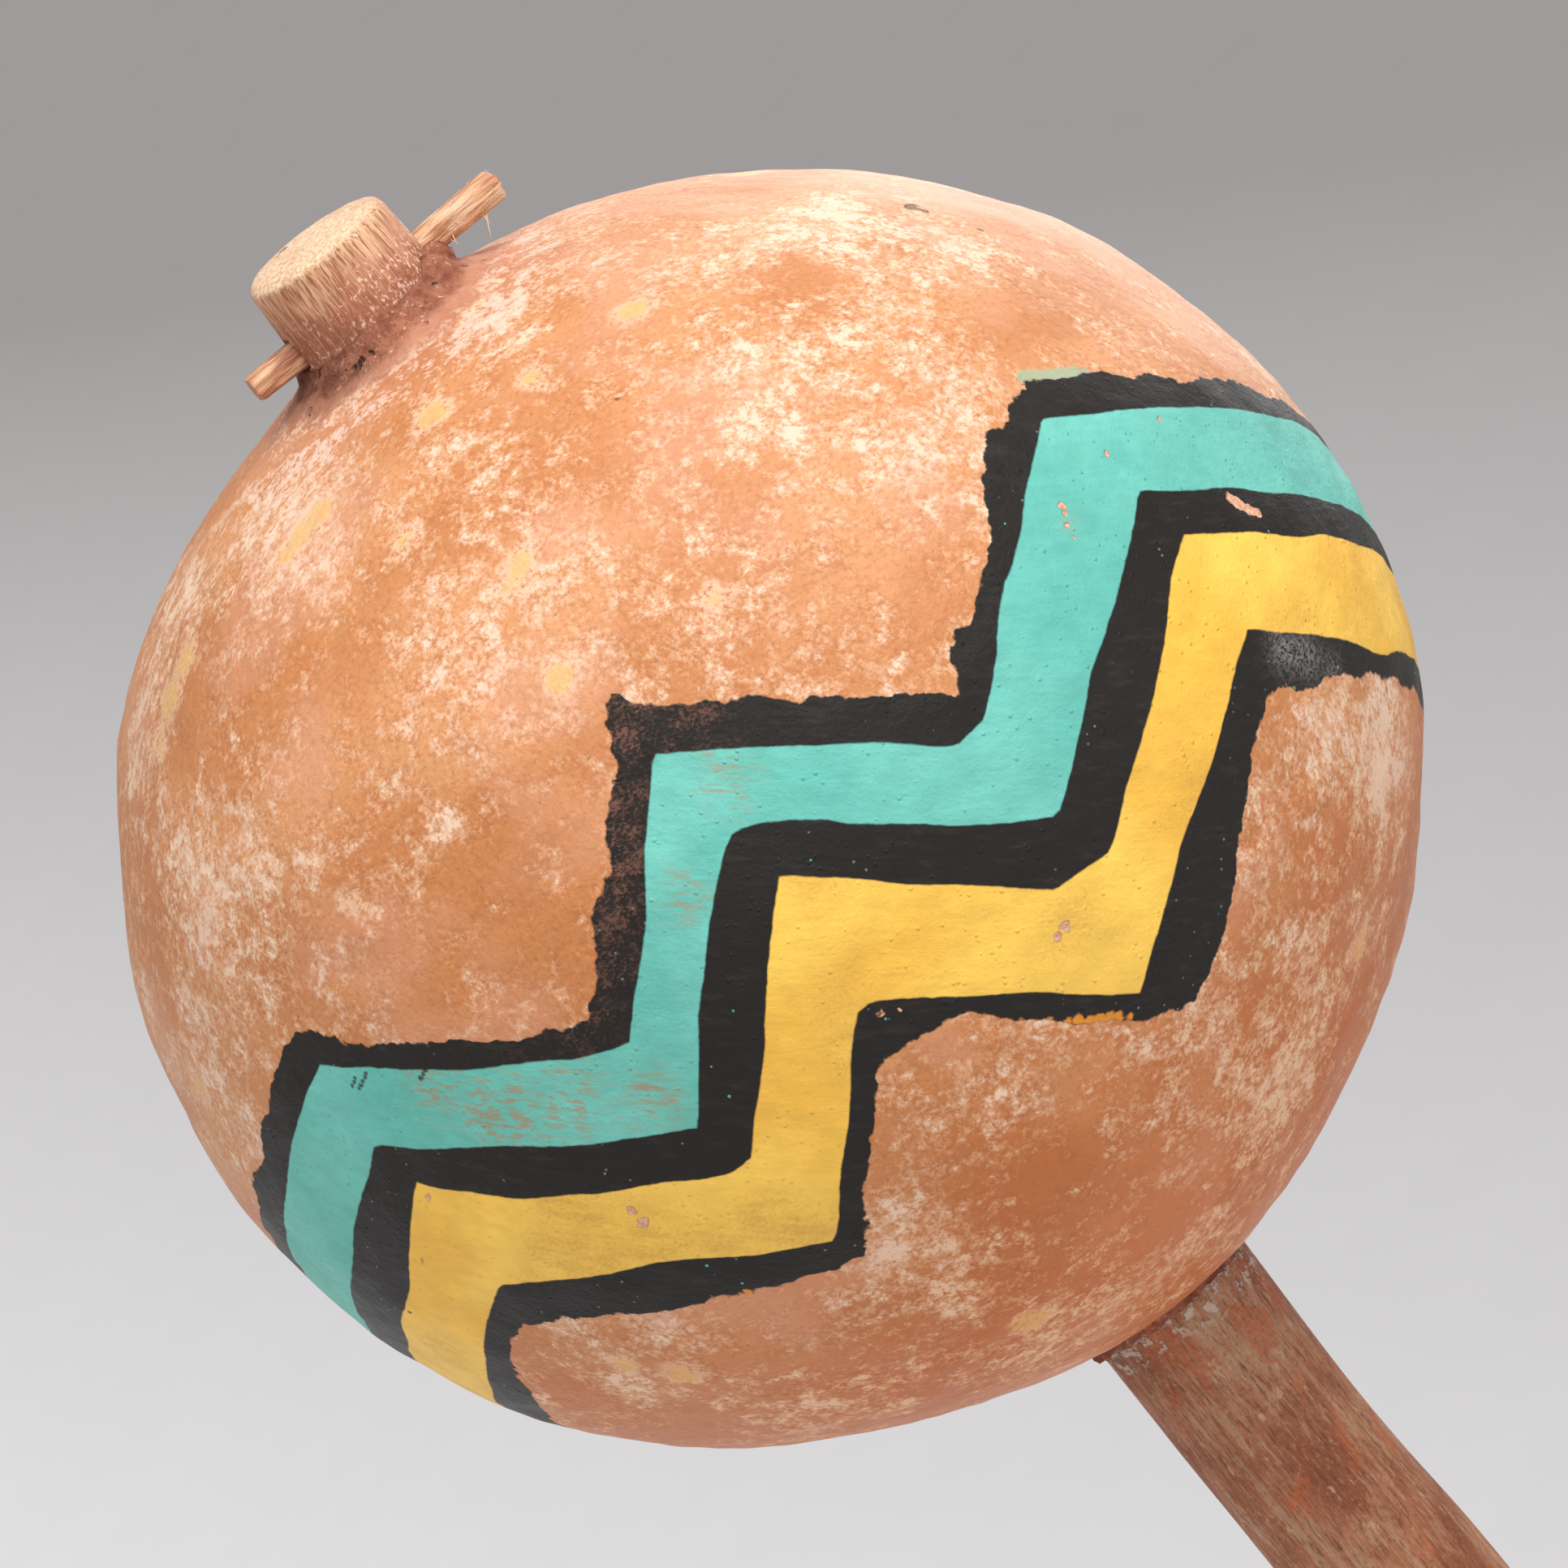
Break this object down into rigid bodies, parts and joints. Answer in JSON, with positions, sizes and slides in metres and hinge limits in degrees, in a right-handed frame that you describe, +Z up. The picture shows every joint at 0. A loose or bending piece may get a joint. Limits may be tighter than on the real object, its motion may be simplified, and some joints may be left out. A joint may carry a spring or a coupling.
{
  "type": "gourd rattle",
  "caption": "Hollow gourd rattle on a whittled stick, with a cross peg, clay-sealed joints, loose pebbles inside and a painted stepped zigzag band.",
  "frame": {"origin": "the middle of the grip, on the stick's axis, where a hand or a display clip holds it", "axes": "+Z up the stick from the butt to the stub; +X along the cross peg towards its thick end, 8.5 degrees off; the painted band's best view is from -Y"},
  "size_m": [0.151, 0.151, 0.2875],
  "materials": {
    "gourd_skin": "satin, dried gourd skin with flat mineral paints",
    "stick_wood": "whittled, worn, stained with red pigment",
    "peg_wood": "raw split wood",
    "clay_paste": "matt smeared clay",
    "clay_crust": "matt crumbling clay",
    "pebble_stone": "matt worn stone"
  },
  "bodies": {
    "rattle": {"gourd_shell": "gourd_skin", "stick": "stick_wood", "top_paste": "clay_paste", "bottom_paste": "clay_crust"},
    "peg": {"cross_peg": "peg_wood"},
    "pebble_inner_01_body": {"pebble_inner_01": "pebble_stone"},
    "pebble_inner_02_body": {"pebble_inner_02": "pebble_stone"},
    "pebble_inner_03_body": {"pebble_inner_03": "pebble_stone"},
    "pebble_inner_04_body": {"pebble_inner_04": "pebble_stone"},
    "pebble_inner_05_body": {"pebble_inner_05": "pebble_stone"},
    "pebble_inner_06_body": {"pebble_inner_06": "pebble_stone"},
    "pebble_outer_01_body": {"pebble_outer_01": "pebble_stone"},
    "pebble_outer_02_body": {"pebble_outer_02": "pebble_stone"},
    "pebble_outer_03_body": {"pebble_outer_03": "pebble_stone"},
    "pebble_outer_04_body": {"pebble_outer_04": "pebble_stone"},
    "pebble_outer_05_body": {"pebble_outer_05": "pebble_stone"},
    "pebble_outer_06_body": {"pebble_outer_06": "pebble_stone"},
    "pebble_outer_07_body": {"pebble_outer_07": "pebble_stone"},
    "pebble_outer_08_body": {"pebble_outer_08": "pebble_stone"},
    "pebble_outer_09_body": {"pebble_outer_09": "pebble_stone"},
    "pebble_outer_10_body": {"pebble_outer_10": "pebble_stone"}
  },
  "joints": [
    {"name": "peg_slide", "type": "slide", "parent": "rattle", "child": "peg", "axis": [0.989, 0.1478, 0], "range_m": [0, 0.026]},
    {"name": "pebble_inner_01_hop", "type": "slide", "parent": "rattle", "child": "pebble_inner_01_body", "axis": [0, 0, 1], "range_m": [0, 0.1245]},
    {"name": "pebble_inner_02_hop", "type": "slide", "parent": "rattle", "child": "pebble_inner_02_body", "axis": [0, 0, 1], "range_m": [0, 0.1245]},
    {"name": "pebble_inner_03_hop", "type": "slide", "parent": "rattle", "child": "pebble_inner_03_body", "axis": [0, 0, 1], "range_m": [0, 0.1245]},
    {"name": "pebble_inner_04_hop", "type": "slide", "parent": "rattle", "child": "pebble_inner_04_body", "axis": [0, 0, 1], "range_m": [0, 0.1245]},
    {"name": "pebble_inner_05_hop", "type": "slide", "parent": "rattle", "child": "pebble_inner_05_body", "axis": [0, 0, 1], "range_m": [0, 0.1245]},
    {"name": "pebble_inner_06_hop", "type": "slide", "parent": "rattle", "child": "pebble_inner_06_body", "axis": [0, 0, 1], "range_m": [0, 0.1245]},
    {"name": "pebble_outer_01_hop", "type": "slide", "parent": "rattle", "child": "pebble_outer_01_body", "axis": [0, 0, 1], "range_m": [0, 0.1185]},
    {"name": "pebble_outer_02_hop", "type": "slide", "parent": "rattle", "child": "pebble_outer_02_body", "axis": [0, 0, 1], "range_m": [0, 0.1185]},
    {"name": "pebble_outer_03_hop", "type": "slide", "parent": "rattle", "child": "pebble_outer_03_body", "axis": [0, 0, 1], "range_m": [0, 0.1185]},
    {"name": "pebble_outer_04_hop", "type": "slide", "parent": "rattle", "child": "pebble_outer_04_body", "axis": [0, 0, 1], "range_m": [0, 0.1185]},
    {"name": "pebble_outer_05_hop", "type": "slide", "parent": "rattle", "child": "pebble_outer_05_body", "axis": [0, 0, 1], "range_m": [0, 0.1185]},
    {"name": "pebble_outer_06_hop", "type": "slide", "parent": "rattle", "child": "pebble_outer_06_body", "axis": [0, 0, 1], "range_m": [0, 0.1185]},
    {"name": "pebble_outer_07_hop", "type": "slide", "parent": "rattle", "child": "pebble_outer_07_body", "axis": [0, 0, 1], "range_m": [0, 0.1185]},
    {"name": "pebble_outer_08_hop", "type": "slide", "parent": "rattle", "child": "pebble_outer_08_body", "axis": [0, 0, 1], "range_m": [0, 0.1185]},
    {"name": "pebble_outer_09_hop", "type": "slide", "parent": "rattle", "child": "pebble_outer_09_body", "axis": [0, 0, 1], "range_m": [0, 0.1185]},
    {"name": "pebble_outer_10_hop", "type": "slide", "parent": "rattle", "child": "pebble_outer_10_body", "axis": [0, 0, 1], "range_m": [0, 0.1185]}
  ]
}
